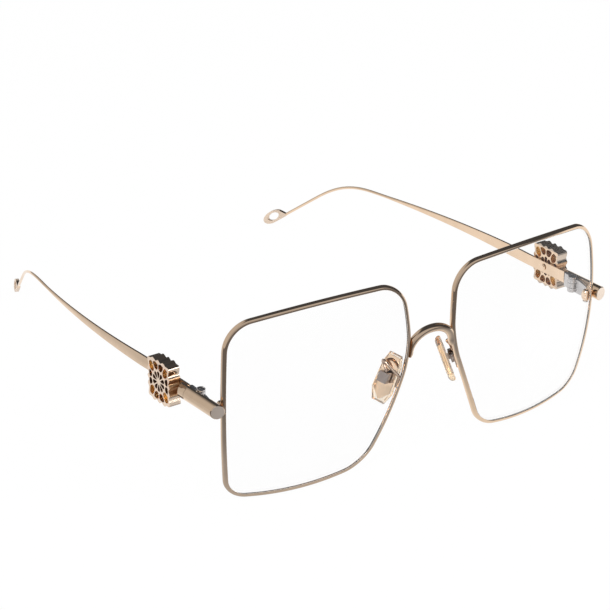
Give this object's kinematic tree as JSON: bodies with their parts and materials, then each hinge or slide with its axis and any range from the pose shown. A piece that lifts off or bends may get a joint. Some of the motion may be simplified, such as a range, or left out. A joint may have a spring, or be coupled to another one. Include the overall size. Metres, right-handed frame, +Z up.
{
  "type": "eyeglass frame",
  "caption": "Oversized square wire eyeglass frame: clear lenses, round rod endpieces, folding bar temples with openwork medallions and looped ear tips, and rocking nose pads.",
  "frame": {"origin": "On the plane that the frame stands on, at the middle of its bounding box in X and Y, with the temples open.", "axes": "+Z is up, the lenses face -Y, and the wearer's left is +X. The frame stands on its rims and on the loops of its temples, which turns it 0.06 degrees about X from where its lens planes are upright."},
  "size_m": [0.1422, 0.1564, 0.0589],
  "materials": {
    "rose_gold": "polished pale rose gold plating on nickel alloy wire",
    "hinge_steel": "plain silver-grey satin steel",
    "clear_lens": "clear polished demo lens",
    "clear_silicone": "clear soft silicone, slightly warm"
  },
  "bodies": {
    "front": {"bridge": "rose_gold", "left_closing_block_lower": "rose_gold", "left_closing_block_upper": "rose_gold", "left_closing_screw": "hinge_steel", "left_endpiece": "rose_gold", "left_front_hinge": "hinge_steel", "left_hinge_screw": "hinge_steel", "left_lens": "clear_lens", "left_pad_arm": "rose_gold", "left_pad_box": "hinge_steel", "left_pad_screw": "hinge_steel", "left_rim": "rose_gold", "right_closing_block_lower": "rose_gold", "right_closing_block_upper": "rose_gold", "right_closing_screw": "hinge_steel", "right_endpiece": "rose_gold", "right_front_hinge": "hinge_steel", "right_hinge_screw": "hinge_steel", "right_lens": "clear_lens", "right_pad_arm": "rose_gold", "right_pad_box": "hinge_steel", "right_pad_screw": "hinge_steel", "right_rim": "rose_gold"},
    "left_temple_assembly": {"left_medallion": "rose_gold", "left_medallion_rivet": "rose_gold", "left_temple": "rose_gold", "left_temple_hinge": "hinge_steel", "left_temple_rod": "rose_gold"},
    "right_temple_assembly": {"right_medallion": "rose_gold", "right_medallion_rivet": "rose_gold", "right_temple": "rose_gold", "right_temple_hinge": "hinge_steel", "right_temple_rod": "rose_gold"},
    "left_pad_assembly": {"left_nose_pad": "clear_silicone", "left_pad_core": "rose_gold"},
    "right_pad_assembly": {"right_nose_pad": "clear_silicone", "right_pad_core": "rose_gold"}
  },
  "joints": [
    {"name": "left_temple_fold", "type": "hinge", "parent": "front", "child": "left_temple_assembly", "pos_m": [0.06606, -0.05975, 0.03081], "axis": [0, -0.001, 1], "range_deg": [0, 86]},
    {"name": "right_temple_fold", "type": "hinge", "parent": "front", "child": "right_temple_assembly", "pos_m": [-0.06606, -0.05975, 0.03081], "axis": [0, 0.001, -1], "range_deg": [0, 83]},
    {"name": "left_pad_rock", "type": "hinge", "parent": "front", "child": "left_pad_assembly", "pos_m": [0.01208, -0.07155, 0.02726], "axis": [0.3695, 0.9143, 0.1659], "range_deg": [-8, 8]},
    {"name": "right_pad_rock", "type": "hinge", "parent": "front", "child": "right_pad_assembly", "pos_m": [-0.01208, -0.07155, 0.02726], "axis": [-0.3695, 0.9143, 0.1659], "range_deg": [-8, 8]}
  ]
}
